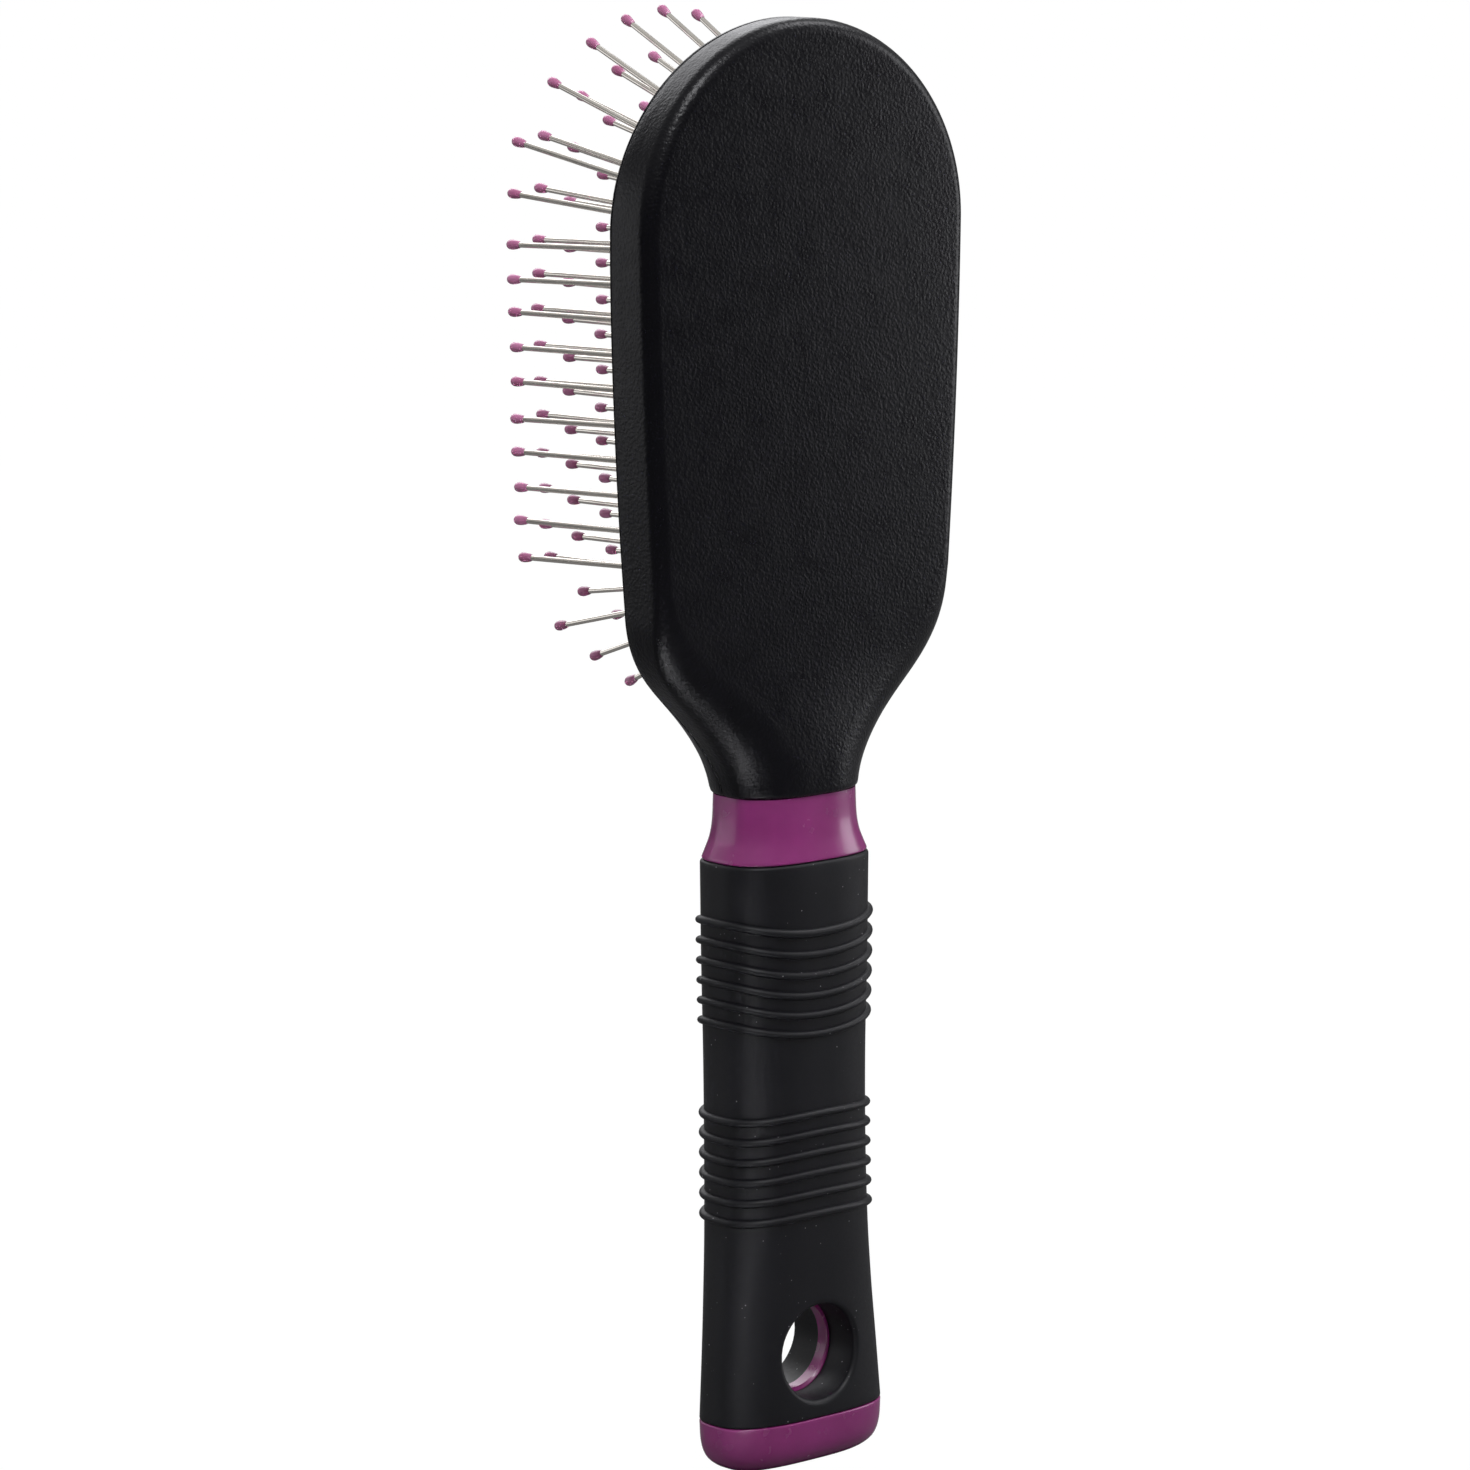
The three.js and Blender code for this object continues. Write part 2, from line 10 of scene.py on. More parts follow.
import bmesh
import bpy
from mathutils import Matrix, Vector


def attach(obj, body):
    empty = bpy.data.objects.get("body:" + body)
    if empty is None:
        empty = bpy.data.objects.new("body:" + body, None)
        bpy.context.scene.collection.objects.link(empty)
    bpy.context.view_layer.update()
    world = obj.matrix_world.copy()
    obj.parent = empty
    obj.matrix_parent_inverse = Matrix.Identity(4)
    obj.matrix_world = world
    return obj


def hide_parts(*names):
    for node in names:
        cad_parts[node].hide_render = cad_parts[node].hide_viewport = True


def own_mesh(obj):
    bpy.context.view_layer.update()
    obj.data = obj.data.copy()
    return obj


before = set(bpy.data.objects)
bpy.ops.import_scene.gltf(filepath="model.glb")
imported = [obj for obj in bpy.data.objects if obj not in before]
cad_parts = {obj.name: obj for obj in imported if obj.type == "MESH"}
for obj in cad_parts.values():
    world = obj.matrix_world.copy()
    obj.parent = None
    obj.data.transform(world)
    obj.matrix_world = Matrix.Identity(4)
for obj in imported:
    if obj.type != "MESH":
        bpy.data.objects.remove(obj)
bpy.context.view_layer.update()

MM = 0.001
WELD = 2e-7                 # metres; vertices closer than this are one
SHARP = 40                  # degrees; edges that bend more than this stay sharp


# ---- shape tools ---------------------------------------------------------------------------
def lerp(a, b, t):
    return a + (b - a) * t


def smooth_step(low, high, value):
    t = min(1.0, max(0.0, (value - low) / (high - low)))
    return t * t * (3 - 2 * t)


def spread(low, high, steps):
    return [lerp(low, high, i / steps) for i in range(steps + 1)]


def arc(steps, start=0.0, end=90.0):
    """Angles in radians, from start to end degrees."""
    return [math.radians(a) for a in spread(start, end, steps)]


def bezier(points, steps):
    """Points (x, z) along a Bezier curve of any degree."""
    found = []
    for t in spread(0, 1, steps):
        level = [tuple(p) for p in points]
        while len(level) > 1:
            level = [tuple(lerp(a, b, t) for a, b in zip(p, q))
                     for p, q in zip(level, level[1:])]
        found.append(level[0])
    return found


def smooth_table(rows, value):
    """Row of a table [key, ...] at value, by a smooth curve through its rows."""
    if value <= rows[0][0]:
        return rows[0][1:]
    if value >= rows[-1][0]:
        return rows[-1][1:]
    i = next(n for n in range(1, len(rows)) if rows[n][0] >= value)
    low, high = rows[i - 1], rows[i]
    span = high[0] - low[0]
    t = (value - low[0]) / span

    def slope(n, column):
        before, after = rows[max(0, n - 1)], rows[min(len(rows) - 1, n + 1)]
        return (after[column] - before[column]) / (after[0] - before[0])

    found = []
    for column in range(1, len(low)):
        m0, m1 = slope(i - 1, column) * span, slope(i, column) * span
        found.append(
            (2 * t**3 - 3 * t**2 + 1) * low[column] + (t**3 - 2 * t**2 + t) * m0
            + (3 * t**2 - 2 * t**3) * high[column] + (t**3 - t**2) * m1)
    return found


class Skin:
    """Vertices in millimetres and faces, gathered from grids that are welded where they meet."""

    def __init__(self):
        self.points = []
        self.faces = []

    def grid(self, rows, closed=False):
        """Quads between rows of equally many points; closed joins each row's ends."""
        base = len(self.points)
        width = len(rows[0])
        for row in rows:
            self.points.extend(row)
        last = width if closed else width - 1
        for r in range(len(rows) - 1):
            for c in range(last):
                a = base + r * width + c
                b = base + r * width + (c + 1) % width
                self.faces.append((a, b, b + width, a + width))

    def fan(self, row, centre):
        base = len(self.points)
        self.points.extend(row)
        self.points.append(centre)
        for c in range(len(row)):
            self.faces.append((base + c, base + (c + 1) % len(row), base + len(row)))

    def mirror(self):
        """Adds the mirror image in X of all there is."""
        base = len(self.points)
        self.points += [(-x, y, z) for x, y, z in self.points]
        self.faces += [tuple(base + i for i in reversed(face)) for face in self.faces]

    def lathe(self, origin, along, profile, segments):
        """A closed solid of revolution: profile gives (radius, distance) along the axis."""
        origin, along = Vector(origin), Vector(along).normalized()
        across = along.orthogonal().normalized()
        up = along.cross(across)
        rows = []
        for radius, distance in profile:
            turns = (2 * math.pi * i / segments for i in range(segments))
            rows.append([tuple(origin + along * distance
                               + (across * math.cos(t) + up * math.sin(t)) * radius)
                         for t in turns])
        self.grid(rows, closed=True)
        self.fan(rows[0], tuple(origin + along * profile[0][1]))
        self.fan(rows[-1], tuple(origin + along * profile[-1][1]))

    def piece(self, name, material, sharp=SHARP):
        mesh = bpy.data.meshes.new(name)
        mesh.from_pydata([Vector(p) * MM for p in self.points], [], self.faces)
        mesh.materials.append(material)
        obj = bpy.data.objects.new(name, mesh)
        bpy.context.scene.collection.objects.link(obj)
        finish_mesh(obj, sharp)
        return obj


def finish_mesh(obj, sharp):
    """Welds a piece's mesh, turns its faces out, and shades it smooth but for edges over sharp
    degrees."""
    mesh = obj.data
    bm = bmesh.new()
    bm.from_mesh(mesh)
    bmesh.ops.remove_doubles(bm, verts=bm.verts, dist=WELD)
    bmesh.ops.dissolve_degenerate(bm, edges=bm.edges, dist=WELD)
    bmesh.ops.recalc_face_normals(bm, faces=bm.faces)
    bm.to_mesh(mesh)
    bm.free()
    mesh.shade_smooth()
    mesh.set_sharp_from_angle(angle=math.radians(sharp))


def cut(piece, tool, sharp=SHARP):
    """Takes tool away from piece, and removes tool."""
    modifier = piece.modifiers.new("cut", "BOOLEAN")
    modifier.operation = "DIFFERENCE"
    modifier.solver = "EXACT"
    modifier.object = tool
    depsgraph = bpy.context.evaluated_depsgraph_get()
    result = bpy.data.meshes.new_from_object(piece.evaluated_get(depsgraph))
    piece.modifiers.clear()
    piece.data = result
    bpy.data.objects.remove(tool)
    finish_mesh(piece, sharp)


# ---- materials -----------------------------------------------------------------------------
class Shader:
    """A material's node tree, with short ways to add its nodes."""

    def __init__(self, name):
        self.material = bpy.data.materials.new(name)
        self.material.use_nodes = True
        self.tree = self.material.node_tree
        self.bsdf = next(n for n in self.tree.nodes if n.type == "BSDF_PRINCIPLED")
        self.place = self.node("ShaderNodeTexCoord").outputs["Object"]

    def node(self, kind, inputs=None, **settings):
        made = self.tree.nodes.new(kind)
        for key, value in settings.items():
            setattr(made, key, value)
        for key, value in (inputs or {}).items():
            self.feed(made.inputs[key], value)
        return made

    def feed(self, socket, value):
        if isinstance(value, bpy.types.NodeSocket):
            self.tree.links.new(value, socket)
        else:
            socket.default_value = value

    def set(self, **inputs):
        for key, value in inputs.items():
            self.feed(self.bsdf.inputs[key.replace("_", " ")], value)

    def constant(self, **inputs):
        """Numbers that are the same all over the surface, on the shader's own sockets."""
        for key, value in inputs.items():
            self.bsdf.inputs[key.replace("_", " ")].default_value = value

    def noise(self, size_mm, detail=2.0, rough=0.5, stretch=(1, 1, 1)):
        """Noise from 0 to 1 whose lumps are about size_mm across."""
        mapping = self.node("ShaderNodeMapping", {"Vector": self.place, "Scale": stretch})
        made = self.node("ShaderNodeTexNoise", {
            "Vector": mapping.outputs[0], "Scale": 1 / (size_mm * MM), "Detail": detail,
            "Roughness": rough})
        return made.outputs[0]

    def cells(self, size_mm, feature="F1", warp=0.0):
        """Distance inside cells about size_mm across, with edges bent by warp."""
        size = size_mm * MM
        place = self.place
        if warp:
            bend = self.node("ShaderNodeTexNoise", {"Vector": self.place, "Scale": 0.6 / size})
            offset = self.node("ShaderNodeVectorMath", {
                0: bend.outputs["Color"], 1: (0.5, 0.5, 0.5)}, operation="SUBTRACT")
            scaled = self.node("ShaderNodeVectorMath", {
                0: offset.outputs[0], "Scale": warp * size}, operation="SCALE")
            moved = self.node("ShaderNodeVectorMath", {0: self.place, 1: scaled.outputs[0]})
            place = moved.outputs[0]
        made = self.node("ShaderNodeTexVoronoi", {"Vector": place, "Scale": 1 / size},
                         feature=feature)
        return made.outputs["Distance"]

    def fit(self, value, low, high, to_low, to_high):
        made = self.node("ShaderNodeMapRange", {
            "Value": value, "From Min": low, "From Max": high, "To Min": to_low, "To Max": to_high})
        return made.outputs[0]

    def mix(self, amount, dark, light):
        """Colour between dark and light; either may be a socket or a linear colour."""
        made = self.node("ShaderNodeMix", data_type="RGBA")
        self.feed(made.inputs[0], amount)
        for place, colour in ((6, dark), (7, light)):
            plain = not isinstance(colour, bpy.types.NodeSocket)
            self.feed(made.inputs[place], (*colour, 1) if plain else colour)
        return made.outputs[2]

    def add(self, a, b, share=1.0):
        """a plus a share of b."""
        made = self.node("ShaderNodeMath", {0: b, 1: share, 2: a}, operation="MULTIPLY_ADD")
        return made.outputs[0]

    def bump(self, height, depth_mm, strength=1.0, under=None):
        made = self.node("ShaderNodeBump", {
            "Height": height, "Distance": depth_mm * MM, "Strength": strength})
        if under is not None:
            self.feed(made.inputs["Normal"], under)
        return made.outputs[0]


GRAIN_SIZE, GRAIN_DEPTH = 0.52, 0.028
BLACK_TONES = (0.0013, 0.0012, 0.0028), (0.0024, 0.0023, 0.0042)
GRIP_TONES = (0.0022, 0.0022, 0.0040), (0.0042, 0.0041, 0.0062)
PAD_TONES = (0.006, 0.006, 0.0065), (0.009, 0.009, 0.0095)
DUST, SPECK_SPACING = (0.35, 0.34, 0.36), 1.6
MAGENTA_TONES = (0.205, 0.020, 0.128), (0.285, 0.036, 0.190)
STEEL_TONES = (0.70, 0.66, 0.60), (0.84, 0.80, 0.74)
TIP_TONES = (0.46, 0.125, 0.27), (0.60, 0.22, 0.41)


def grained_plastic():
    """Black moulded ABS with a fine leather grain."""
    s = Shader("black_plastic")
    grain = s.fit(s.cells(GRAIN_SIZE, "SMOOTH_F1", warp=1.2), 0.15, 0.62, 1, 0)
    fine = s.noise(0.26, 3, 0.6)
    height = s.add(grain, fine, 0.5)
    cloud = s.noise(14, 3)
    s.set(Base_Color=s.mix(cloud, *BLACK_TONES),
          Roughness=s.fit(s.add(s.noise(5, 3), grain, 0.25), 0.3, 0.9, 0.26, 0.37),
          Normal=s.bump(height, GRAIN_DEPTH))
    s.constant(Specular_IOR_Level=0.22)
    return s.material


def soft_rubber(name, dark, light, speck_share=0.0):
    """Matt rubber with a faint mould texture, and pale specks of dust as strong as speck_share."""
    s = Shader(name)
    skin = s.noise(0.5, 4, 0.65)
    wave = s.noise(9, 2)
    colour = s.mix(s.noise(11, 3), dark, light)
    if speck_share:
        speck = s.fit(s.cells(SPECK_SPACING, "F1"), 0.04, 0.08, 1, 0)
        chosen = s.fit(s.noise(7.3, 1), 0.46, 0.54, 0, speck_share)
        dust = s.node("ShaderNodeMath", {0: speck, 1: chosen}, operation="MULTIPLY").outputs[0]
        colour = s.mix(dust, colour, DUST)
    s.set(Base_Color=colour,
          Roughness=s.fit(s.add(skin, wave, 0.6), 0.5, 1.1, 0.42, 0.56),
          Normal=s.bump(skin, 0.02, 0.5, under=s.bump(wave, 0.12, 0.3)))
    s.constant(Specular_IOR_Level=0.30)
    return s.material


def polished_plastic():
    """Magenta plastic, polished, with the faint waves of a moulded surface."""
    s = Shader("magenta_plastic")
    cloud = s.noise(8, 2)
    waves = s.noise(6, 2)
    s.set(Base_Color=s.mix(cloud, *MAGENTA_TONES),
          Roughness=s.fit(s.noise(3.5, 3, 0.5), 0.3, 0.8, 0.22, 0.30),
          Normal=s.bump(s.noise(0.5, 3), 0.004, 0.4, under=s.bump(waves, 0.25, 0.25)))
    s.constant(Subsurface_Weight=0.08, Subsurface_Radius=(1.2 * MM, 0.3 * MM, 0.8 * MM),
               Subsurface_Scale=1.0, Coat_Weight=0.15, Coat_Roughness=0.08)
    return s.material


def pin_wire():
    """Bright drawn wire, with fine lines along it."""
    s = Shader("pin_wire")
    lines = s.noise(0.35, 4, 0.7, stretch=(1, 0.06, 1))
    tarnish = s.noise(4, 3)
    s.set(Base_Color=s.mix(tarnish, *STEEL_TONES),
          Metallic=1.0,
          Roughness=s.fit(s.add(lines, tarnish, 0.5), 0.4, 1.1, 0.09, 0.20),
          Normal=s.bump(lines, 0.003, 0.4))
    return s.material


def tip_coating():
    """Dipped pink-magenta coating, a little different from tip to tip."""
    s = Shader("tip_coating")
    batch = s.noise(5.5, 1)
    s.set(Base_Color=s.mix(s.fit(batch, 0.3, 0.7, 0, 1), *TIP_TONES),
          Roughness=s.fit(s.noise(0.6, 3), 0.3, 0.8, 0.20, 0.34),
          Normal=s.bump(s.noise(0.5, 2), 0.02, 0.4))
    s.constant(Subsurface_Weight=0.15, Subsurface_Radius=(0.5 * MM, 0.2 * MM, 0.35 * MM),
               Subsurface_Scale=1.0, Coat_Weight=0.3)
    return s.material


BLACK_PLASTIC = grained_plastic()
GRIP_RUBBER = soft_rubber("grip_rubber", *GRIP_TONES, speck_share=0.9)
PAD_RUBBER = soft_rubber("pad_rubber", *PAD_TONES)
MAGENTA_PLASTIC = polished_plastic()
PIN_WIRE = pin_wire()
TIP_COATING = tip_coating()


# ---- head mouldings ------------------------------------------------------------------------
NECK_END, NECK_HALF = 113.9, 13.2
WAIST_Z, WAIST_HALF = 129.8, 24.0
SHOULDER_Z, SHOULDER_HALF = 146.5, 32.2
SIDE_BULGE_Z = 179.5
CROWN_Z, CROWN_HALF, CROWN_RISE = 207.5, 35.0, 33.5
HEAD_BACK, HEAD_FRONT = 5.1, -10.6
BACK_RADIUS, FRONT_BEVEL = 2.6, 6.2
BACK_CROWN = 0.45           # the back face is this much fuller in the middle
NECK_BACK, NECK_BLEND = 7.3, 24.0
EDGE_BLEND = 36.0           # height over which the neck's roundness becomes the head's rounded edge
TOP_FRONT_LIFT, TOP_WALL_LIFT = 1.4, 0.6
WALL = 2.2
SEAM_MID, SEAM_RISE, SEAM_Z, SEAM_SPAN = -4.5, 2.4, 174.5, 60.0
SEAM_HALF_GAP = 0.06        # the two mouldings close up to twice this
EDGE = 0.28                 # rounding of the mouldings' edges
SKIRT_EDGE = 0.7            # rounding of the head's lower end

OPEN_TOP_Z, OPEN_TOP_HALF, OPEN_TOP_RISE = 206.5, 28.8, 27.8
OPEN_LOW_Z, OPEN_LOW_HALF, OPEN_LOW_DROP = 156.5, 27.2, 22.4
OPEN_EDGE = 0.6             # rounding of the opening's edge
LIP_BACK, LIP_SEAT = -8.1, 1.5
SPLIT_Z = 131.0             # the frame's front runs right across below this, and is a ring above it
JOIN_Z = 148.0              # from here up the ring runs straight inward to the opening


def seam_y(z):
    return SEAM_MID + SEAM_RISE * abs((z - SEAM_Z) / SEAM_SPAN) ** 3


def head_outline():
    """Right half of the head's outline from the neck to the top, as points (x, z)."""
    lower = bezier([(NECK_HALF, NECK_END), (NECK_HALF + 0.6, NECK_END + 6),
                    (WAIST_HALF - 3.7, WAIST_Z - 3.5), (WAIST_HALF, WAIST_Z)], 18)
    upper = bezier([(WAIST_HALF, WAIST_Z), (WAIST_HALF + 4.2, WAIST_Z + 4.1),
                    (SHOULDER_HALF - 0.1, SHOULDER_Z - 9), (SHOULDER_HALF, SHOULDER_Z)], 18)
    side = bezier([(SHOULDER_HALF, SHOULDER_Z), (CROWN_HALF - 0.4, SIDE_BULGE_Z),
                   (CROWN_HALF, CROWN_Z)], 22)
    top = [(CROWN_HALF * math.cos(a), CROWN_Z + CROWN_RISE * math.sin(a)) for a in arc(40)]
    return lower + upper[1:] + side[1:] + top[1:]


def opening_point(turn, grow):
    """Point (x, z) of the cushion opening's round ends at an angle, grown outward by grow."""
    upper = turn > 0
    half, rise, centre = ((OPEN_TOP_HALF, OPEN_TOP_RISE, OPEN_TOP_Z) if upper
                          else (OPEN_LOW_HALF, OPEN_LOW_DROP, OPEN_LOW_Z))
    return (half + grow) * math.cos(turn), centre + (rise + grow) * math.sin(turn)


def inside_opening(x, z, grow=0.0):
    if z > OPEN_TOP_Z:
        up = (z - OPEN_TOP_Z) / (OPEN_TOP_RISE + grow)
        return math.hypot(x / (OPEN_TOP_HALF + grow), up) <= 1
    if z < OPEN_LOW_Z:
        up = (z - OPEN_LOW_Z) / (OPEN_LOW_DROP + grow)
        return math.hypot(x / (OPEN_LOW_HALF + grow), up) <= 1
    part = (z - OPEN_LOW_Z) / (OPEN_TOP_Z - OPEN_LOW_Z)
    return abs(x) <= lerp(OPEN_LOW_HALF, OPEN_TOP_HALF, part) + grow


def bisect(test, low, high):
    """Where test turns true between low, where it is false, and high."""
    for _ in range(40):
        middle = (low + high) / 2
        if test(middle):
            high = middle
        else:
            low = middle
    return high


class Station:
    """A place on the head's outline, and the head's section there, drawn in by inset all round."""

    def __init__(self, x, z, inset, height=None):
        centre_z = min(z, CROWN_Z)
        reach = math.hypot(x, z - centre_z)
        self.x, self.z, self.inset = x, z, inset
        self.height = z if height is None else height
        self.inward = (-x / reach, (centre_z - z) / reach)
        self.half = reach - inset
        self.neck = 1 - smooth_step(NECK_END + 2, NECK_END + NECK_BLEND, z)
        self.round = 1 - smooth_step(NECK_END + 2, NECK_END + EDGE_BLEND, z)
        crown = smooth_step(CROWN_Z + 8, CROWN_Z + CROWN_RISE, z)
        self.back = lerp(HEAD_BACK, NECK_BACK, self.neck) - inset
        self.front = HEAD_FRONT + TOP_FRONT_LIFT * crown + inset
        self.wall_front = seam_y(z) - TOP_WALL_LIFT * crown
        self.bevel = lerp(FRONT_BEVEL, self.half * 0.8, self.neck)
        self.power = lerp(1.1, 2.2, self.neck)

    def point(self, depth, y):
        """The point at y, depth inward of the section's side."""
        reach = self.inset + depth
        x = 0.0 if depth > self.half - 1e-6 else self.x + self.inward[0] * reach
        return (x, y, self.height + self.inward[1] * reach)

    def bevel_y(self, depth):
        if depth >= self.bevel:
            return self.front
        turn = math.acos((1 - depth / self.bevel) ** (self.power / 2))
        return lerp(self.wall_front, self.front, math.sin(turn) ** (2 / self.power))

    def opening_depth(self, grow):
        """How far inward the opening, grown outward by grow, starts."""
        def inside(depth):
            x, _, z = self.point(depth, 0)
            return inside_opening(x, z, grow)
        return bisect(inside, 0.0, self.half)

    def back_column(self, edge):
        """Points from the middle of the back to the seam, whose edge is rounded."""
        radius = lerp(BACK_RADIUS, self.half * 0.8, self.round)
        seam = seam_y(self.z) + SEAM_HALF_GAP
        drop = lerp(BACK_RADIUS, self.back - seam - 2, self.round)
        crown = BACK_CROWN * (1 - self.neck)
        face = [(lerp(self.half, radius, t), self.back + crown * (1 - t * t))
                for t in spread(0, 1, 10)[:-1]]
        corner = [(radius * (1 - math.cos(a)), self.back - drop * (1 - math.sin(a)))
                  for a in arc(14, 90, 0)]
        wall = [(0.0, lerp(self.back - drop, seam + edge, t)) for t in (0.33, 0.67, 1)]
        lip = [(edge * (1 - math.sin(a)), seam + edge * (1 - math.cos(a)))
               for a in arc(4, 90, 0)[1:]]
        return [self.point(*p) for p in face + corner + wall + lip]

    def front_column(self, edge, room):
        """Points from the seam, whose edge is rounded, down the bevel as far as there is room."""
        seam = seam_y(self.z) - SEAM_HALF_GAP
        start = bisect(lambda depth: self.bevel_y(depth) <= seam - edge, 0.0, self.bevel)
        lip = [(start + edge * (1 - math.sin(a)), seam - edge * (1 - math.cos(a)))
               for a in arc(4)[:-1]]
        end = min(self.bevel, room)
        slope = [(d, self.bevel_y(d)) for d in (lerp(start, end, t) for t in spread(0, 1, 14))]
        return [self.point(*p) for p in lip + slope]


def stations(inset):
    """From the neck's end, whose edge is rounded, up the right side to the top."""
    end = [Station(NECK_HALF, NECK_END, inset or SKIRT_EDGE * (1 - math.sin(a)),
                   NECK_END + SKIRT_EDGE * (1 - math.cos(a))) for a in arc(5)]
    clear = NECK_END + SKIRT_EDGE + 0.2
    return end + [Station(x, z, inset) for x, z in head_outline() if z > clear]


def back_shell():
    skin = Skin()
    outer = [s.back_column(EDGE) for s in stations(0)]
    inner = [s.back_column(0.0) for s in stations(WALL)]
    skin.grid(outer)
    skin.grid(inner)
    skin.grid([[column[-1] for column in outer], [column[-1] for column in inner]])
    skin.grid([outer[0], inner[0]])
    skin.mirror()
    return skin.piece("back_shell", BLACK_PLASTIC)


def frame_face(skin, inset):
    """The outer face of the front frame, or its inner one, drawn in by inset. Returns its edges at
    the seam, at the neck's end and at the opening."""
    edge, reach = (0.0, LIP_SEAT) if inset else (EDGE, OPEN_EDGE)
    places = stations(inset)
    split = next(i for i, s in enumerate(places) if s.z >= SPLIT_Z)
    open_from = OPEN_LOW_Z - OPEN_LOW_DROP - reach + 0.01
    rooms = [s.opening_depth(reach) if s.z > open_from else s.half for s in places]
    columns = [s.front_column(edge, room) for s, room in zip(places, rooms)]

    across = spread(0, 1, 10)[1:]
    neck = [column + [(lerp(column[-1][0], 0.0, t), s.front, column[-1][2]) for t in across]
            for s, column in zip(places[:split + 1], columns)]
    skin.grid(neck)
    skin.grid(columns[split:])

    # the ring from the bevel's end to the opening: its lowest points face the opening's lower arc
    around = [(places[split], p) for p in reversed(neck[split][-len(across):])]
    around += [(s, column[-1]) for s, column in zip(places[split:], columns[split:])]
    low = sum(1 for _, p in around if p[2] < JOIN_Z)
    travelled = [0.0]
    for (_, p), (_, q) in zip(around[:low], around[1:low + 1]):
        travelled.append(travelled[-1] + math.dist(p, q))
    join = -math.asin((OPEN_LOW_Z - around[low][1][2]) / OPEN_LOW_DROP)
    ring = []
    for i, (s, base) in enumerate(around):
        def facing(grow, i=i, s=s):
            if i < low:
                return opening_point(lerp(-math.pi / 2, join, travelled[i] / travelled[low]), grow)
            x, _, z = s.point(s.opening_depth(grow), 0)
            return x, z
        x1, z1 = facing(reach)
        y1 = base[1] if i < low else s.bevel_y(s.opening_depth(reach))
        column = [tuple(lerp(p, q, t) for p, q in zip(base, (x1, y1, z1))) for t in spread(0, 1, 5)]
        if inset:
            rest = [(LIP_SEAT, LIP_BACK), (0.0, LIP_BACK)]
        else:
            rest = [(OPEN_EDGE * (1 - math.sin(a)), y1 + OPEN_EDGE * (1 - math.cos(a)))
                    for a in arc(6)[1:]]
        for grow, y in rest:
            x, z = facing(grow)
            column.append((x, y, z))
        ring.append(column)
    skin.grid(ring)
    return [column[0] for column in columns], neck[0], [column[-1] for column in ring]


def front_frame():
    skin = Skin()
    for outer, inner in zip(frame_face(skin, 0), frame_face(skin, WALL)):
        skin.grid([outer, inner])
    skin.mirror()
    return skin.piece("front_frame", BLACK_PLASTIC)


# ---- cushion pad ---------------------------------------------------------------------------
PAD_THICKNESS, PAD_EDGE_Y, PAD_RISE, PAD_POWER = 1.6, -10.2, 6.2, 3
PAD_GAP = 0.12              # between the pad and the opening's edge
PAD_SHOULDER = 0.5          # rounding where the pad turns in behind the frame
PAD_DRAW = 0.12             # how much further in that rounding starts
FLANGE, FLANGE_FRONT = 1.2, -7.9   # how far the flange reaches behind the frame, and its front
PAD_CENTRE_Z = (OPEN_TOP_Z + OPEN_TOP_RISE + OPEN_LOW_Z - OPEN_LOW_DROP) / 2
VENT_X, VENT_RADIUS = 3.2, 0.9
PAD_RIM_EXTRA = 3.0         # the sheet's hidden underside thickens by this much at its rim
PAD_COLUMNS = 160
PAD_INNER, PAD_UNDER_OUTER = 0.03, 0.96   # first ring, and the underside's last, as shares


def pad_y(fraction):
    return PAD_EDGE_Y - PAD_RISE * (1 - min(fraction, 1.0) ** PAD_POWER)


def pad_fraction(x, z):
    """How far (x, z) is from the pad's centre, as a share of the way to the opening's edge."""
    dz = z - PAD_CENTRE_Z
    return 1 / bisect(lambda far: not inside_opening(x * far, PAD_CENTRE_Z + dz * far), 0.8, 200.0)


def cushion():
    skin = Skin()
    turns = [2 * math.pi * (i + 0.5) / PAD_COLUMNS - math.pi for i in range(PAD_COLUMNS)]

    def ring(share, grow, y):
        """The opening's outline grown by grow, drawn to a share of its size, at y."""
        points = (opening_point(turn, grow) for turn in turns)
        return [(x * share, y, PAD_CENTRE_Z + (z - PAD_CENTRE_Z) * share) for x, z in points]

    top = [ring(f, -PAD_GAP, pad_y(f)) for f in spread(PAD_INNER, 1, 34)[:-1]]
    top.append(ring(1, -PAD_GAP - PAD_DRAW, PAD_EDGE_Y))
    shoulder = [ring(1, -PAD_GAP - PAD_DRAW * (1 - math.sin(a)),
                     PAD_EDGE_Y + PAD_SHOULDER * (1 - math.cos(a)))
                for a in arc(3)[1:]]
    rim = [ring(1, grow, y) for grow, y in (
        (-PAD_GAP, FLANGE_FRONT), (FLANGE, FLANGE_FRONT), (FLANGE, FLANGE_FRONT + PAD_THICKNESS),
        (-PAD_THICKNESS, FLANGE_FRONT + PAD_THICKNESS))]
    under = [ring(f, -PAD_THICKNESS, pad_y(f) + PAD_THICKNESS + PAD_RIM_EXTRA * f ** 5)
             for f in spread(PAD_UNDER_OUTER, PAD_INNER, 20)]
    rows = top + shoulder + rim + under
    skin.grid(rows, closed=True)
    skin.fan(rows[0], (0, pad_y(0), PAD_CENTRE_Z))
    skin.fan(rows[-1], (0, pad_y(0) + PAD_THICKNESS, PAD_CENTRE_Z))
    pad = skin.piece("cushion", PAD_RUBBER)

    drill = Skin()
    drill.lathe((VENT_X, -30, PAD_CENTRE_Z), (0, 1, 0), [(VENT_RADIUS, 0), (VENT_RADIUS, 40)], 24)
    cut(pad, drill.piece("vent_drill", PAD_RUBBER))
    return pad


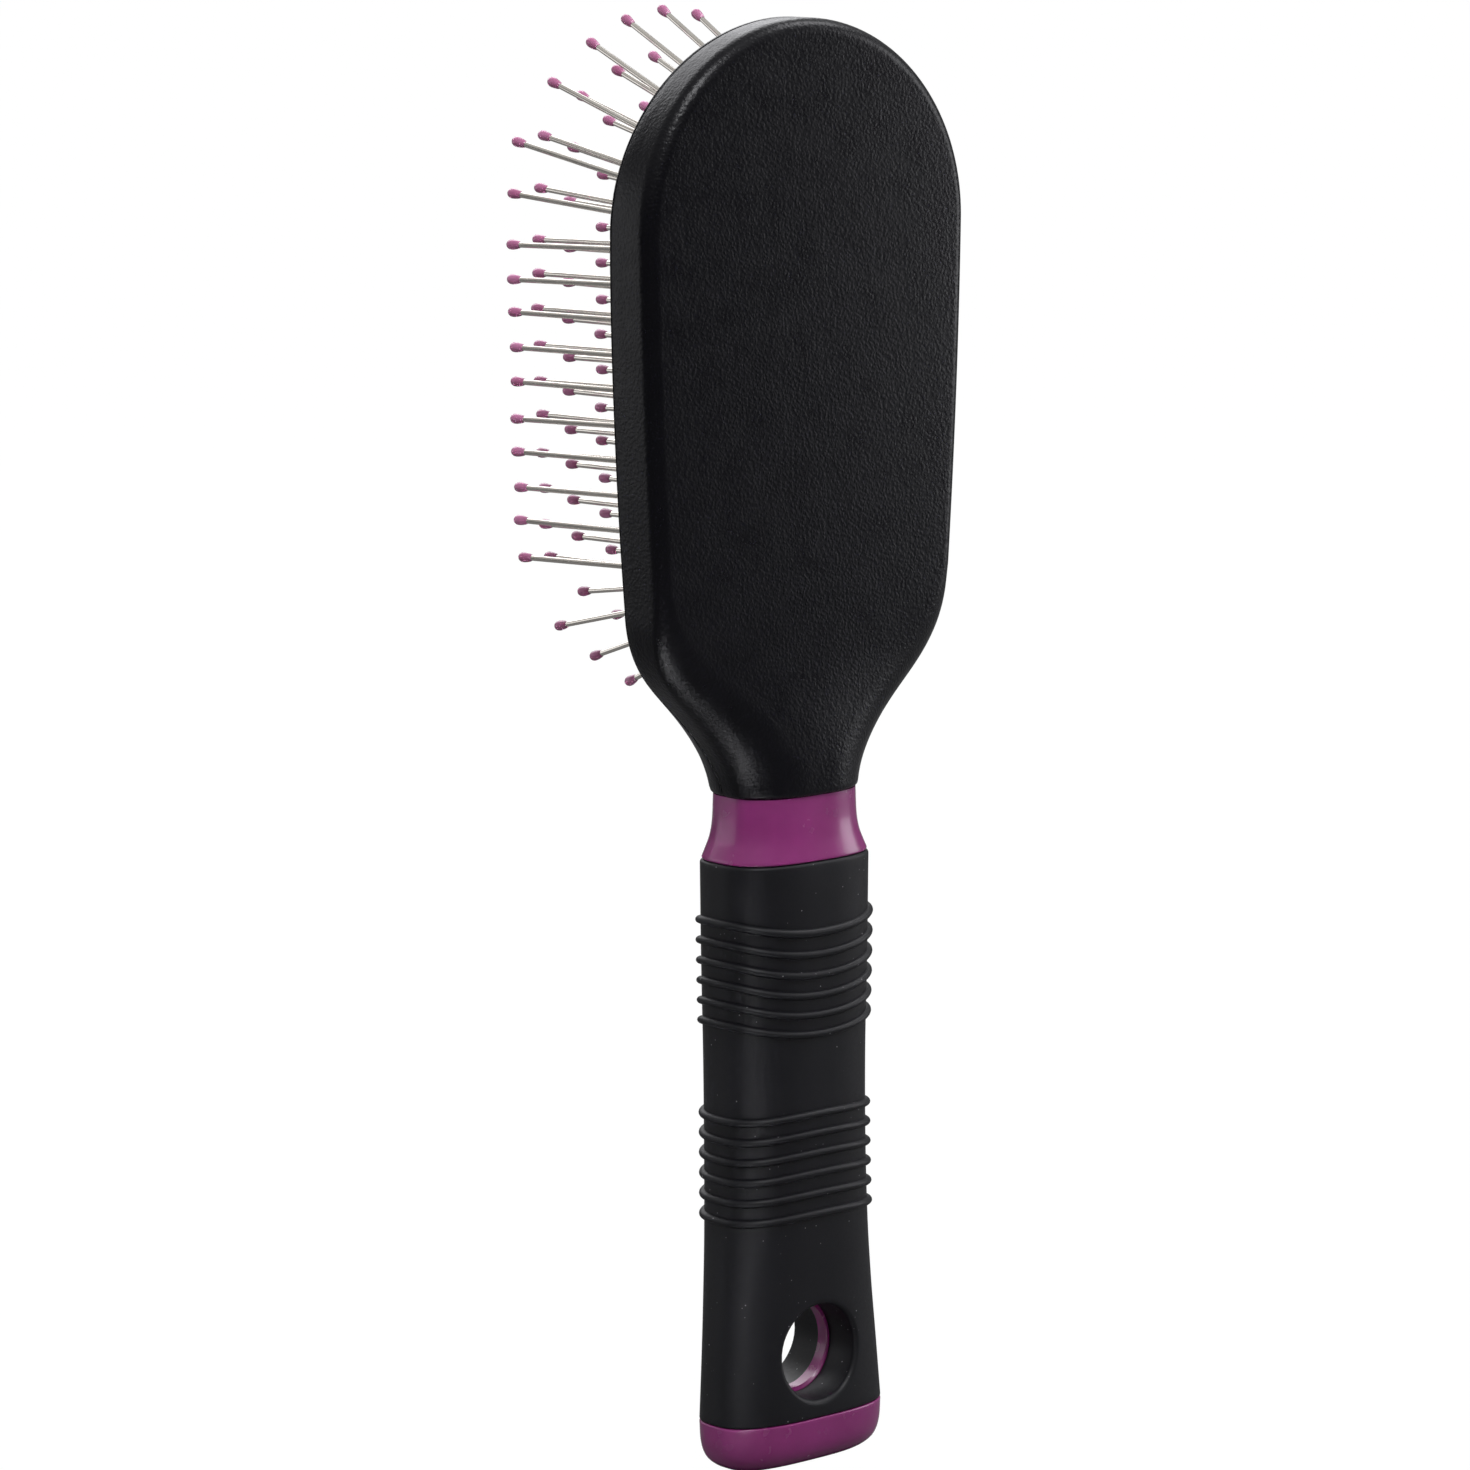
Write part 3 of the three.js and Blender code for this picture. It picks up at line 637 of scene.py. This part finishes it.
# ---- pins ----------------------------------------------------------------------------------
# distances along a pin are from the pad's surface, and a root below 0 is under it
PIN_LENGTH, WIRE_RADIUS, WIRE_ROOT, WIRE_SIDES = 24.0, 0.47, -0.5, 12
TIP_LENGTH, TIP_OVERLAP, TIP_SIDES = 2.7, 0.4, 16
BOSS_RADIUS, BOSS_HEIGHT, BOSS_ROOT, BOSS_SIDES = 1.25, 0.5, -0.35, 20
ROW_SPACING, ROW_FAN, ROW_TAPER = 6.4, 3.2, 0.0012
FAN_TOP_Z, FAN_TOP_RATE = 204.5, 1.15
FAN_LOW_Z, FAN_LOW_RATE = 151.0, 2.2
# highest and lowest root and number of pins, from the middle row outward
PIN_ROWS = [(230.0, 138.2, 17), (229.1, 139.1, 16), (226.3, 141.7, 15), (222.0, 145.0, 14),
            (215.5, 152.0, 12)]
PIN_STRAY = 0.8             # degrees; how far a pin leans from its row's lie
PIN_SEED = 41
# (radius, distance) up the tip, and shares of the boss's radius and height
TIP_PROFILE = [(0.50, 0.0), (0.60, 0.18), (0.69, 0.5), (0.78, 0.95), (0.84, 1.4), (0.85, 1.75),
               (0.79, 2.1), (0.64, 2.38), (0.42, 2.58), (0.2, 2.68)]
BOSS_PROFILE = [(1.0, 0.0), (0.86, 0.25), (0.7, 0.55), (0.56, 0.85), (0.42, 1.0)]


def pin_lean(z):
    """Degrees by which a pin at height z leans up, or down."""
    if z > FAN_TOP_Z:
        return (z - FAN_TOP_Z) * FAN_TOP_RATE
    if z < FAN_LOW_Z:
        return -(FAN_LOW_Z - z) * FAN_LOW_RATE
    return 0.0


def row_pins(k):
    """Roots on the pad and directions of a row's pins: row 0 is the middle, 4 and -4 the outer."""
    highest, lowest, count = PIN_ROWS[abs(k)]
    stray = random.Random(PIN_SEED + k)
    pins = []
    for z in spread(highest, lowest, count - 1):
        x = k * ROW_SPACING * (1 - max(0.0, CROWN_Z - z) * ROW_TAPER)
        lean = math.radians(ROW_FAN * k + stray.uniform(-PIN_STRAY, PIN_STRAY))
        rise = math.radians(pin_lean(z) + stray.uniform(-PIN_STRAY, PIN_STRAY))
        along = Vector((math.sin(lean) * math.cos(rise), -math.cos(lean) * math.cos(rise),
                        math.sin(rise)))
        pins.append((Vector((x, pad_y(pad_fraction(x, z)), z)), along))
    return pins


def pin_row(k, number):
    """Row k's wires, tips and the pad's bosses around their roots, each kind one piece."""
    neck = PIN_LENGTH - TIP_LENGTH
    wire_profile = [(WIRE_RADIUS, s) for s in (WIRE_ROOT, 6, 12, neck + TIP_OVERLAP)]
    tip_profile = [(r, neck + s) for r, s in TIP_PROFILE]
    boss_profile = [(BOSS_RADIUS, BOSS_ROOT)]
    boss_profile += [(r * BOSS_RADIUS, s * BOSS_HEIGHT) for r, s in BOSS_PROFILE]
    wires, tips, bosses = Skin(), Skin(), Skin()
    for root, along in row_pins(k):
        wires.lathe(root, along, wire_profile, WIRE_SIDES)
        tips.lathe(root, along, tip_profile, TIP_SIDES)
        bosses.lathe(root, along, boss_profile, BOSS_SIDES)
    wire = wires.piece(f"pin_wires_row_{number}", PIN_WIRE)
    tip = tips.piece(f"pin_tips_row_{number}", TIP_COATING)
    boss = bosses.piece(f"pin_bosses_row_{number}", PAD_RUBBER)
    return wire, tip, boss


# ---- handle --------------------------------------------------------------------------------
HANDLE_POWER = 2.8
COLUMNS, RING_STEPS = 144, 4000
MEAN_HALF = (16, 9)         # about the handle's half width and half thickness
SLEEVE_BOTTOM, SLEEVE_TOP, SLEEVE_WALL = 8.5, 102.9, 2.4
RIB_PITCH, RIB_COUNT, RIB_HEIGHT, RIB_HALF, RIB_POWER = 3.4, 6, 0.80, 0.72, 0.55
UPPER_RIB_Z, LOWER_RIB_Z = 93.1, 59.8
HOLE_Z, HOLE_RADIUS = 19.4, 8.05
HOLE_EDGES = {1: 1.0, -1: 0.4}   # rounding of the hole's edge at the back and at the front
WEB_HOLE_RADIUS, WEB_HALF, WEB_TOP, TANG_SHOULDER = 7.5, 1.25, 30.5, 36.5
WEB_CHAMFER = 0.22
TANG_SINK = 3.2             # the tang goes this far down into the end cap
COLLAR_EDGE = 0.25          # rounding of the collar's lower edge
PLUG_HALVES, PLUG_DEPTH = (10.3, 5.6), 14   # the plug inside the head
CAP_EDGE = 0.3              # rounding of the end cap's upper edge
HOLE_MARGIN = 1.5           # the grid opens this far above and below the hole
SLEEVE_LOW_EDGE, SLEEVE_TOP_EDGE = 0.3, 0.6   # rounding of the sleeve's ends
AXIS_Y = -1.5
FIT = 0.08                  # clearance between the handle's pieces
# the handle's outside: height, half width, half thickness, centre
HANDLE = [(8.5, 17.6, 8.4, 0.0), (19.5, 16.8, 8.2, -0.35), (29.5, 15.9, 8.4, -0.75),
          (39.5, 15.1, 8.8, -1.05), (53.5, 14.6, 9.1, -1.35), (68.5, 14.5, 9.3, -1.5),
          (85.5, 14.9, 9.4, -1.5), (102.9, 15.1, 9.5, -1.5)]
# how far the rings dip in the middle of the faces, by height at the handle's sides
SAG = [(34.0, 0.0), (42.0, -0.6), (60.4, -0.6), (75.0, 2.0), (93.8, 2.0), (101.0, 0.0)]
COLLAR = [(103.35, 14.75, 9.3, -1.5), (104.6, 14.15, 9.02, -1.5), (106.6, 13.3, 8.62, -1.5),
          (109.2, 12.8, 8.35, -1.5), (113.8, 12.6, 8.2, -1.5)]
CAP = [(0.0, 12.6, 4.4, 0.0), (0.6, 14.6, 5.9, 0.0), (2.0, 16.4, 7.4, 0.0), (4.4, 17.35, 8.15, 0.0),
       (8.3, 17.6, 8.4, 0.0)]


def unit_ring(count, power=HANDLE_POWER):
    """Points (u, v) on a unit superellipse, from u = 1, spaced evenly round the handle."""
    fine = []
    for i in range(RING_STEPS + 1):
        turn = 2 * math.pi * i / RING_STEPS
        fine.append(tuple(math.copysign(abs(part) ** (2 / power), part)
                          for part in (math.cos(turn), math.sin(turn))))
    run = [0.0]
    for (u0, v0), (u1, v1) in zip(fine, fine[1:]):
        run.append(run[-1] + math.hypot((u1 - u0) * MEAN_HALF[0], (v1 - v0) * MEAN_HALF[1]))
    ring, j = [], 0
    for i in range(count):
        goal = run[-1] * i / count
        while run[j + 1] < goal:
            j += 1
        t = (goal - run[j]) / (run[j + 1] - run[j])
        ring.append((lerp(fine[j][0], fine[j + 1][0], t), lerp(fine[j][1], fine[j + 1][1], t)))
    return ring


RING = unit_ring(COLUMNS)


def section(z, a, b, y, sag=0.0):
    """Ring of half width a and half thickness b about (0, y), dipping by sag in its middle."""
    return [(a * u, y + b * v, z - sag * (1 - u * u)) for u, v in RING]


def loft(sections, skin=None):
    """Closed skin through sections, ended by flat fans."""
    skin = skin or Skin()
    skin.grid(sections, closed=True)
    for row in (sections[0], sections[-1]):
        skin.fan(row, (0.0, sum(p[1] for p in row) / len(row), row[0][2]))
    return skin


def handle_row(w, proud=0.0):
    """Ring of the handle's outside whose sides are at height w, standing proud by that much."""
    sag = smooth_table(SAG, w)[0]
    a, b, y = smooth_table(HANDLE, w - sag / 2)
    return section(w, a + proud, b + proud, y, sag)


def sleeve_rows():
    """Heights at the sides, with how far the ring there stands proud."""
    ribs = [top - i * RIB_PITCH for top in (UPPER_RIB_Z, LOWER_RIB_Z) for i in range(RIB_COUNT)]
    rows = [(SLEEVE_BOTTOM + SLEEVE_LOW_EDGE * (1 - math.cos(a)),
             -SLEEVE_LOW_EDGE * (1 - math.sin(a))) for a in arc(4)]
    rows += [(SLEEVE_TOP - SLEEVE_TOP_EDGE * (1 - math.cos(a)),
              -SLEEVE_TOP_EDGE * (1 - math.sin(a))) for a in arc(5)]
    for rib in ribs:
        for t in (-1.25, -1, -0.93, -0.8, -0.6, -0.35, 0, 0.35, 0.6, 0.8, 0.93, 1, 1.25):
            rise = RIB_HEIGHT * (1 - t * t) ** RIB_POWER if abs(t) < 1 else 0.0
            rows.append((rib + t * RIB_HALF, rise))
    for w in spread(9.4, 101.4, 58):
        if all(abs(w - rib) > 1.3 * RIB_HALF + 0.5 for rib in ribs):
            rows.append((w, 0.0))
    return sorted(rows)


def face_y(side, x, z):
    """y of the handle's front (side -1) or back (side 1) at (x, z)."""
    a, b, y = smooth_table(HANDLE, z)
    return y + side * b * (1 - abs(x / a) ** HANDLE_POWER) ** (1 / HANDLE_POWER)


def grip():
    """The sleeve: a grid of rings, with a window in each face that narrows to the hanging hole."""
    rows = sleeve_rows()
    grid = [handle_row(w, proud) for w, proud in rows]
    low = max(i for i, (w, _) in enumerate(rows) if w < HOLE_Z - HOLE_RADIUS - HOLE_MARGIN)
    high = min(i for i, (w, _) in enumerate(rows) if w > HOLE_Z + HOLE_RADIUS + HOLE_MARGIN)
    wide = [i for i, (u, _) in enumerate(RING) if abs(u) * MEAN_HALF[0] < HOLE_RADIUS + 2.6]
    skin = Skin()
    skin.grid(grid[:low + 1], closed=True)
    skin.grid(grid[high:], closed=True)
    back = [i for i in wide if RING[i][1] > 0]
    front = [i for i in wide if RING[i][1] < 0]
    right = [i % COLUMNS for i in range(front[-1], back[0] + 1 + COLUMNS)]
    for columns in (list(range(back[-1], front[0] + 1)), right):
        skin.grid([[row[i] for i in columns] for row in grid[low:high + 1]])
    bores = []
    for side, columns in ((1, back), (-1, front[::-1])):
        window = ([grid[low][i] for i in columns]
                  + [grid[r][columns[-1]] for r in range(low + 1, high)]
                  + [grid[high][i] for i in reversed(columns)]
                  + [grid[r][columns[0]] for r in range(high - 1, low, -1)])
        turns = [math.atan2(z - HOLE_Z, x) for x, _, z in window]
        edge = HOLE_EDGES[side]

        def ring(share, radius, depth=0.0):
            made = []
            for (x, _, z), turn in zip(window, turns):
                x1, z1 = radius * math.cos(turn), HOLE_Z + radius * math.sin(turn)
                x2, z2 = lerp(x, x1, share), lerp(z, z1, share)
                made.append((x2, face_y(side, x2, z2) - side * depth, z2))
            return made

        rings = [window] + [ring(t, HOLE_RADIUS + edge) for t in (0.35, 0.7, 1)]
        rings += [ring(1, HOLE_RADIUS + edge * (1 - math.sin(a)), edge * (1 - math.cos(a)))
                  for a in arc(7)[1:]]
        skin.grid(rings, closed=True)
        bores.append(rings[-1])
    skin.grid([[tuple(lerp(p, q, t) for p, q in zip(a, b)) for a, b in zip(*bores)]
               for t in (0, 0.2, 0.4, 0.6, 0.8, 1)], closed=True)
    for row in (grid[0], grid[-1]):
        skin.fan(row, (0.0, row[0][1], row[0][2]))
    sleeve = skin.piece("grip", GRIP_RUBBER)
    cavity = loft(tang_sections(FIT, SLEEVE_BOTTOM - 1, SLEEVE_TOP + 1))
    cut(sleeve, cavity.piece("cavity", GRIP_RUBBER))
    return sleeve


def tang_sections(clearance, low, high):
    """The core inside the sleeve: a thin web around the hole and a full section above it."""
    draw = SLEEVE_WALL - clearance

    def web(z):
        a, _, y = smooth_table(HANDLE, z)
        return section(z, a - draw, WEB_HALF + clearance, y)

    def full(z):
        a, b, y = smooth_table(HANDLE, z)
        return section(z, a - draw, b - draw, y)

    return ([web(z) for z in (low, SLEEVE_BOTTOM, 14.0, HOLE_Z, 25.0, WEB_TOP)]
            + [full(z) for z in [*spread(TANG_SHOULDER, SLEEVE_TOP - 2, 12), high]])


def core():
    """The magenta core: tang in the sleeve, flared collar, and plug in the head."""
    tang = tang_sections(0.0, SLEEVE_BOTTOM - TANG_SINK, SLEEVE_TOP + FIT)
    _, half, thick, _ = COLLAR[0]
    base = [(SLEEVE_TOP + FIT + COLLAR_EDGE * (1 - math.sin(a)),
             half - COLLAR_EDGE * (1 - math.cos(a))) for a in arc(4, 90, 0)]
    rim = [section(z, a, thick - half + a, AXIS_Y) for z, a in base]
    collar = [section(z, *smooth_table(COLLAR, z)) for z in spread(COLLAR[0][0], COLLAR[-1][0], 26)]
    plug = [section(z, *PLUG_HALVES, AXIS_Y) for z in (COLLAR[-1][0], 120.0, NECK_END + PLUG_DEPTH)]
    piece = loft(tang + rim + collar + plug).piece("core", MAGENTA_PLASTIC)

    one_side = [(WEB_HOLE_RADIUS, WEB_HALF - WEB_CHAMFER),
                (WEB_HOLE_RADIUS + WEB_CHAMFER, WEB_HALF + 0.001),
                (WEB_HOLE_RADIUS + 1, WEB_HALF + WEB_CHAMFER + 0.5)]
    profile = [(radius, -distance) for radius, distance in reversed(one_side)] + one_side
    centre = smooth_table(HANDLE, HOLE_Z)[2]
    drill = Skin()
    drill.lathe((0, centre, HOLE_Z), (0, 1, 0), profile, 96)
    cut(piece, drill.piece("web_drill", MAGENTA_PLASTIC))
    return piece


def end_cap():
    """The cap under the sleeve, with a socket for the tang."""
    heights = [0.0, 0.1, 0.25, 0.45, 0.7, 1.0, 1.4, 1.9, 2.5, 3.2, 4.0, 4.9, 5.8, 6.7, 7.5]
    rows = [section(z, *smooth_table(CAP, z)) for z in heights]
    a, b, y = CAP[-1][1:]
    for turn in arc(4):
        draw = CAP_EDGE * (1 - math.cos(turn))
        rows.append(section(8.1 + CAP_EDGE * math.sin(turn), a - draw, b - draw, y))
    piece = loft(rows).piece("cap", MAGENTA_PLASTIC)
    web = a - SLEEVE_WALL + FIT
    socket = loft([section(z, web, WEB_HALF + FIT, 0.0) for z in (5.0, 12.0)])
    cut(piece, socket.piece("socket", MAGENTA_PLASTIC))
    return piece


# ---- assembly ------------------------------------------------------------------------------
def place(piece, body, slot, node=None):
    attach(piece, body)
    if node:
        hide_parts(node)


def give(piece):
    """Gives the piece its own copy of its mesh."""
    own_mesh(piece)


place(back_shell(), "brush", "black_plastic", "head_back_shell")
place(front_frame(), "brush", "black_plastic", "head_front_frame")
place(grip(), "brush", "grip_rubber", "grip_sleeve")
place(core(), "brush", "magenta_plastic", "handle_core")
place(end_cap(), "brush", "magenta_plastic", "end_cap")

pad = cushion()
place(pad, "cushion", "pad_rubber", "cushion_pad")
give(pad)
for k in range(1 - len(PIN_ROWS), len(PIN_ROWS)):
    number = k + len(PIN_ROWS)
    wire, tip, boss = pin_row(k, number)
    place(wire, f"row_{number}", "pin_steel", f"pin_row_{number}")
    place(tip, f"row_{number}", "tip_coating")
    place(boss, "cushion", "pad_rubber")
    give(boss)


# ---- floor, light and camera -----------------------------------------------------------------
CAMERA_WHITE = 0.97         # share of the floor's look, seen directly, that is plain white paper
WHITE_GLOW = 1.03
FLOOR_TONES = (0.16, 0.16, 0.16), (0.18, 0.18, 0.18)
FLOOR_HALF, FLOOR_Z = 40.0, -0.0002
BACKDROP = {"From Min": 0.0, "From Max": 0.8, "To Min": 0.10, "To Max": 0.55}   # grey by height
LIGHT_COLOUR = (0.97, 0.97, 1.0)
MIDDLE = (0, 0, 0.13)
# name, direction from the target, distance, width, height, power, target
LIGHTS = [
    ("key", (0.20, 0.52, 0.83), 1.5, 0.45, 0.45, 12, MIDDLE),
    ("overhead", (-0.62, 0.10, 0.78), 1.3, 0.45, 0.45, 4.0, MIDDLE),
    ("side", (-0.90, 0.41, 0.20), 0.75, 0.30, 0.5, 1.7, MIDDLE),
    ("front", (-0.3, -0.8, 0.62), 1.4, 1.3, 1.0, 10, MIDDLE),
    ("edge", (0.66, -0.74, 0.10), 0.8, 0.5, 0.4, 0.6, MIDDLE),
    ("floor_pool", (0, 0, 1), 0.2, 0.06, 0.06, 0.9, (0.105, 0.085, 0)),
]
POOL_SPREAD = 50            # degrees
CAMERA_PLACE, CAMERA_TARGET = (0.6604, 0.7334, 0.2846), (0, 0, 0.123)
CAMERA_LENS, CAMERA_SENSOR, CAMERA_SHIFT = 148.16, 36, -0.03776


def seen_directly(tree):
    """1 for what is seen directly, 0 for what only lights or reflects."""
    return tree.nodes.new("ShaderNodeLightPath").outputs["Is Camera Ray"]


def pale_floor():
    s = Shader("pale_floor")
    s.set(Base_Color=s.mix(s.noise(300, 2), *FLOOR_TONES), Roughness=0.9)
    s.constant(Specular_IOR_Level=0.1)
    glow = s.node("ShaderNodeEmission", {"Color": (1, 1, 1, 1), "Strength": WHITE_GLOW})
    share = s.node("ShaderNodeMath", {0: seen_directly(s.tree), 1: CAMERA_WHITE},
                   operation="MULTIPLY")
    both = s.node("ShaderNodeMixShader", {
        0: share.outputs[0], 1: s.bsdf.outputs[0], 2: glow.outputs[0]})
    output = next(n for n in s.tree.nodes if n.type == "OUTPUT_MATERIAL")
    s.feed(output.inputs["Surface"], both.outputs[0])
    return s.material


def add_object(name, data, location=(0, 0, 0), target=None):
    """Links an object to the scene, turned so that its -Z axis points at the target."""
    obj = bpy.data.objects.new(name, data)
    obj.location = location
    bpy.context.scene.collection.objects.link(obj)
    if target is not None:
        toward = Vector(target) - obj.location
        obj.rotation_euler = toward.to_track_quat("-Z", "Y").to_euler()
    return obj


def soft_light(name, direction, distance, width, height, power, target):
    data = bpy.data.lights.new(name, "AREA")
    data.shape = "RECTANGLE"
    data.size, data.size_y = width, height
    data.energy = power
    data.color = LIGHT_COLOUR
    add_object(name, data, Vector(target) + Vector(direction).normalized() * distance, target)
    return data


def studio_world():
    """White where it is seen directly; for all other rays a grey that grows lighter upward."""
    world = bpy.data.worlds.new("studio")
    world.use_nodes = True
    nodes = world.node_tree.nodes
    links = world.node_tree.links
    split = nodes.new("ShaderNodeSeparateXYZ")
    links.new(nodes.new("ShaderNodeTexCoord").outputs["Generated"], split.inputs[0])
    ceiling = nodes.new("ShaderNodeMapRange")
    for socket, value in BACKDROP.items():
        ceiling.inputs[socket].default_value = value
    links.new(split.outputs["Z"], ceiling.inputs["Value"])
    mixed = nodes.new("ShaderNodeMix")
    mixed.data_type = "RGBA"
    mixed.inputs[7].default_value = (1, 1, 1, 1)
    links.new(seen_directly(world.node_tree), mixed.inputs[0])
    links.new(ceiling.outputs[0], mixed.inputs[6])
    links.new(mixed.outputs[2], nodes["Background"].inputs["Color"])
    return world


floor_mesh = bpy.data.meshes.new("floor")
corners = [(-1, -1), (1, -1), (1, 1), (-1, 1)]
floor_mesh.from_pydata([(x * FLOOR_HALF, y * FLOOR_HALF, FLOOR_Z) for x, y in corners], [],
                       [(0, 1, 2, 3)])
floor_mesh.materials.append(pale_floor())
floor = add_object("floor", floor_mesh)

lights = {settings[0]: soft_light(*settings) for settings in LIGHTS}
lights["floor_pool"].spread = math.radians(POOL_SPREAD)

camera_data = bpy.data.cameras.new("camera")
camera_data.sensor_width = CAMERA_SENSOR
camera_data.lens = CAMERA_LENS
camera_data.shift_x = CAMERA_SHIFT
camera_data.clip_end = 200
scene = bpy.context.scene
scene.camera = add_object("camera", camera_data, CAMERA_PLACE, CAMERA_TARGET)
scene.world = studio_world()
scene.view_settings.view_transform = "Standard"
